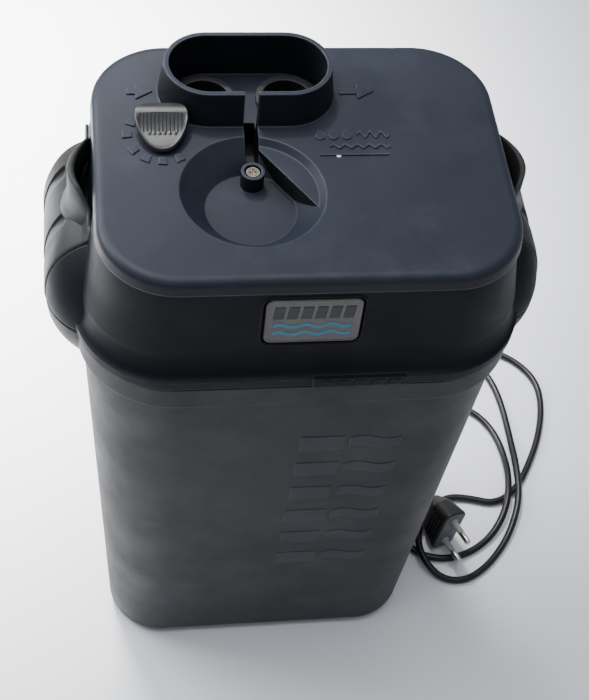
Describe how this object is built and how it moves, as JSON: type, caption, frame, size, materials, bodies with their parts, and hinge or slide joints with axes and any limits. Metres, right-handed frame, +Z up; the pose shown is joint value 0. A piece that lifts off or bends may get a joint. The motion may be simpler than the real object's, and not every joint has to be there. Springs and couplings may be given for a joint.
{
  "type": "aquarium canister filter",
  "caption": "External aquarium canister filter: tapered tub, clamped motor head with oval hose collar and priming knob, media baskets, pump and mains lead.",
  "frame": {"origin": "on the surface the filter stands on, under the middle of the tub", "axes": "+Z up, the front with the badge faces -Y, the hose collar and the mains lead are at the back (+Y)"},
  "size_m": [0.3378, 0.2816, 0.375],
  "materials": {
    "shell_plastic": "fine moulded grain",
    "clamp_plastic": "satin",
    "knob_plastic": "satin, slightly cloudy",
    "badge_plastic": "satin",
    "inner_plastic": "satin",
    "white_plastic": "satin",
    "basket_plastic": "satin",
    "rubber": "matte",
    "steel": "brushed",
    "ferrite": "matte",
    "copper": "enamelled wire",
    "coarse_foam": "open foam",
    "fine_foam": "open foam",
    "lead_black": "satin",
    "plug_black": "satin"
  },
  "bodies": {
    "base": {"badge_plate": "badge_plastic", "basket_lid": "basket_plastic", "canister_body": "shell_plastic", "coarse_foam": "coarse_foam", "cord_coil": "lead_black", "cover_screw": "steel", "fine_foam": "fine_foam", "floor_screws": "steel", "foam_frame": "basket_plastic", "head_cover": "shell_plastic", "head_floor": "inner_plastic", "head_shell": "shell_plastic", "impeller_cover": "inner_plastic", "impeller_shaft": "steel", "intake_port": "inner_plastic", "left_clamp_pin": "steel", "lid_gasket": "rubber", "media_basket_1": "basket_plastic", "media_basket_2": "basket_plastic", "media_basket_3": "basket_plastic", "media_basket_4": "basket_plastic", "motor_housing": "inner_plastic", "outlet_duct": "inner_plastic", "outlet_port": "inner_plastic", "plug_body": "plug_black", "plug_pins": "steel", "power_cord_drop": "lead_black", "power_cord_loops": "lead_black", "primer_cylinder": "inner_plastic", "right_clamp_pin": "steel", "rotor_well": "inner_plastic", "rubber_feet": "rubber", "shaft_bushings": "rubber", "stator_coil": "copper", "stator_core": "steel", "strain_relief": "lead_black"},
    "right_clamp": {"right_clamp": "clamp_plastic"},
    "left_clamp": {"left_clamp": "clamp_plastic"},
    "primer": {"primer_knob": "knob_plastic", "primer_rod": "white_plastic", "primer_piston": "white_plastic", "primer_seal": "rubber"},
    "rotor": {"impeller": "white_plastic", "rotor_magnet": "ferrite"}
  },
  "joints": [
    {"name": "right_clamp_pivot", "type": "hinge", "parent": "base", "child": "right_clamp", "pos_m": [0.109, 0.007, 0.277], "axis": [0, 1, 0], "range_deg": [0, 75]},
    {"name": "left_clamp_pivot", "type": "hinge", "parent": "base", "child": "left_clamp", "pos_m": [-0.109, 0.007, 0.277], "axis": [0, -1, 0], "range_deg": [0, 75]},
    {"name": "primer_slide", "type": "slide", "parent": "base", "child": "primer", "axis": [0, 0, 1], "range_m": [0, 0.018]},
    {"name": "impeller_spin", "type": "hinge", "parent": "base", "child": "rotor", "pos_m": [0.048, 0, 0.3], "axis": [0, 0, 1], "continuous": true}
  ]
}
